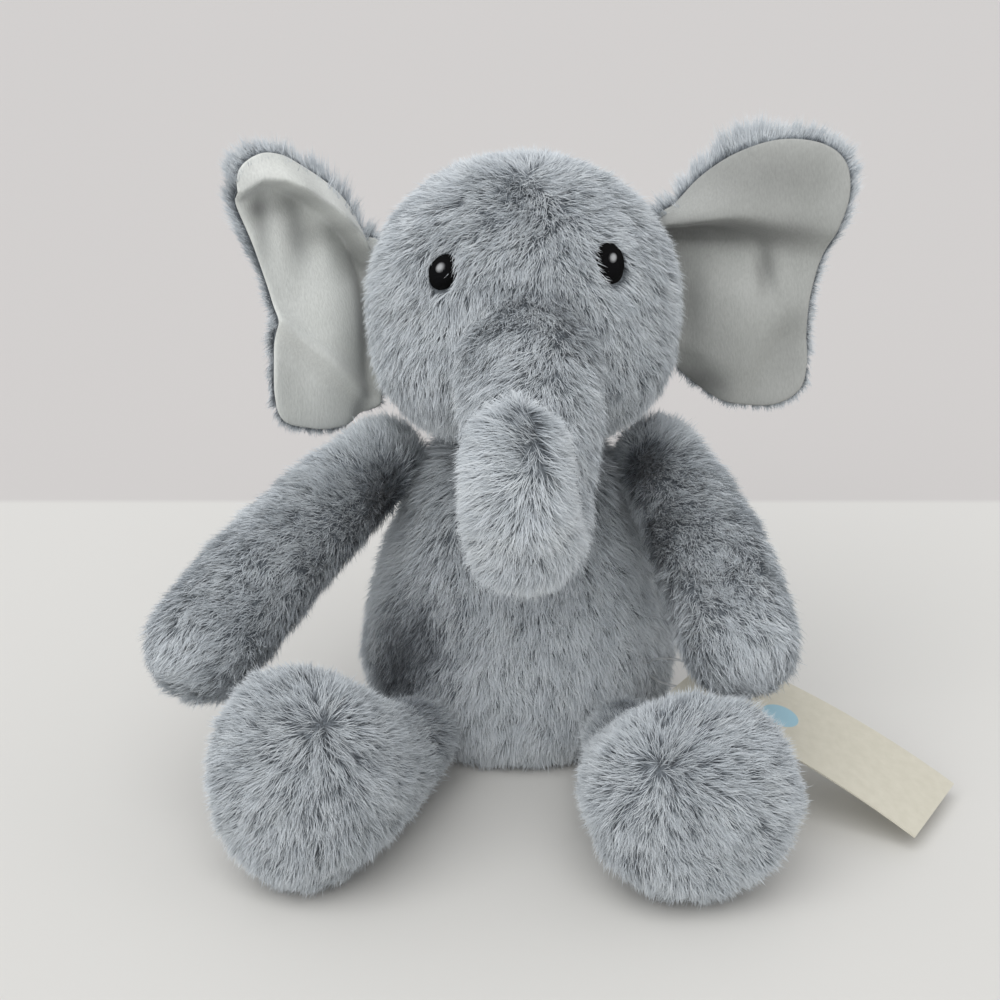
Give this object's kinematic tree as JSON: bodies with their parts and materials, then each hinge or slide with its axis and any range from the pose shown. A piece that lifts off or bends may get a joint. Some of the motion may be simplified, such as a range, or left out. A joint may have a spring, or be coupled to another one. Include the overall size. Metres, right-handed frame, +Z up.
{
  "type": "stuffed elephant",
  "caption": "Seated plush elephant with long-pile covers over soft stuffing, smooth-lined ears, upturned trunk, embroidered eyes, hinged limbs and a blank hang tag.",
  "frame": {"origin": "centre of the seat panel's underside, on the surface that the elephant sits on", "axes": "+Z up; the elephant faces -Y; its own left side is +X"},
  "size_m": [0.306, 0.2453, 0.2447],
  "materials": {
    "plush": "long-pile plush",
    "ear_velour": "short-pile velour",
    "polyester_fill": "loose fibre",
    "black_thread": "satin stitch",
    "white_thread": "satin stitch",
    "label_satin": "satin ribbon",
    "tag_card": "matt card",
    "loop_nylon": "clear nylon"
  },
  "bodies": {
    "torso": {"body_front_panel": "plush", "body_back_panel": "plush", "seat_panel": "plush", "body_stuffing": "polyester_fill", "care_label": "label_satin", "tag_loop": "loop_nylon"},
    "neck": {"neck_stuffing": "polyester_fill"},
    "head": {"head_left_panel": "plush", "head_right_panel": "plush", "head_centre_panel": "plush", "head_stuffing": "polyester_fill", "left_eye": "black_thread", "right_eye": "black_thread", "left_eye_glint": "white_thread", "right_eye_glint": "white_thread"},
    "trunk": {"trunk_left_panel": "plush", "trunk_right_panel": "plush", "trunk_stuffing": "polyester_fill"},
    "left_ear": {"left_ear_back": "plush", "left_ear_lining": "ear_velour"},
    "right_ear": {"right_ear_back": "plush", "right_ear_lining": "ear_velour"},
    "left_arm": {"left_arm_upper_panel": "plush", "left_arm_under_panel": "plush", "left_arm_stuffing": "polyester_fill"},
    "right_arm": {"right_arm_upper_panel": "plush", "right_arm_under_panel": "plush", "right_arm_stuffing": "polyester_fill"},
    "left_leg": {"left_leg_upper_panel": "plush", "left_leg_under_panel": "plush", "left_leg_stuffing": "polyester_fill"},
    "right_leg": {"right_leg_upper_panel": "plush", "right_leg_under_panel": "plush", "right_leg_stuffing": "polyester_fill"},
    "tail": {"tail": "plush"},
    "hang_tag": {"hang_tag": "tag_card"}
  },
  "joints": [
    {"name": "neck_turn", "type": "hinge", "parent": "torso", "child": "neck", "pos_m": [0, -0.003, 0.1305], "axis": [0, 0, -1], "range_deg": [-25, 25]},
    {"name": "neck_nod", "type": "hinge", "parent": "neck", "child": "head", "pos_m": [0, -0.003, 0.1305], "axis": [-1, 0, 0], "range_deg": [-8, 14]},
    {"name": "trunk_swing", "type": "hinge", "parent": "head", "child": "trunk", "pos_m": [0.002, -0.06, 0.174], "axis": [-1, 0, 0], "range_deg": [-6, 18]},
    {"name": "left_ear_flap", "type": "hinge", "parent": "head", "child": "left_ear", "pos_m": [0.06, 0.014, 0.19], "axis": [0, 0, 1], "range_deg": [-25, 15]},
    {"name": "right_ear_flap", "type": "hinge", "parent": "head", "child": "right_ear", "pos_m": [-0.06, 0.014, 0.19], "axis": [0, 0, -1], "range_deg": [-12, 30]},
    {"name": "left_shoulder", "type": "hinge", "parent": "torso", "child": "left_arm", "pos_m": [0.0565, -0.004, 0.119], "axis": [-0.9682, -0.2501, 0], "range_deg": [-2, 42]},
    {"name": "right_shoulder", "type": "hinge", "parent": "torso", "child": "right_arm", "pos_m": [-0.056, -0.004, 0.119], "axis": [-0.8307, 0.5568, 0], "range_deg": [-3, 42]},
    {"name": "left_hip", "type": "hinge", "parent": "torso", "child": "left_leg", "pos_m": [0.0412, -0.0585, 0.02], "axis": [-0.6014, -0.15, -0.7847], "range_deg": [0, 25]},
    {"name": "right_hip", "type": "hinge", "parent": "torso", "child": "right_leg", "pos_m": [-0.0412, -0.0585, 0.02], "axis": [-0.5472, 0.291, 0.7848], "range_deg": [0, 25]},
    {"name": "tail_lift", "type": "hinge", "parent": "torso", "child": "tail", "pos_m": [0, 0.06, 0.036], "axis": [1, 0, 0], "range_deg": [-8, 50]},
    {"name": "tag_swing", "type": "hinge", "parent": "torso", "child": "hang_tag", "pos_m": [0.076, -0.0436, 0.0388], "axis": [-0.513, -0.8584, 0], "range_deg": [-1, 12]}
  ]
}
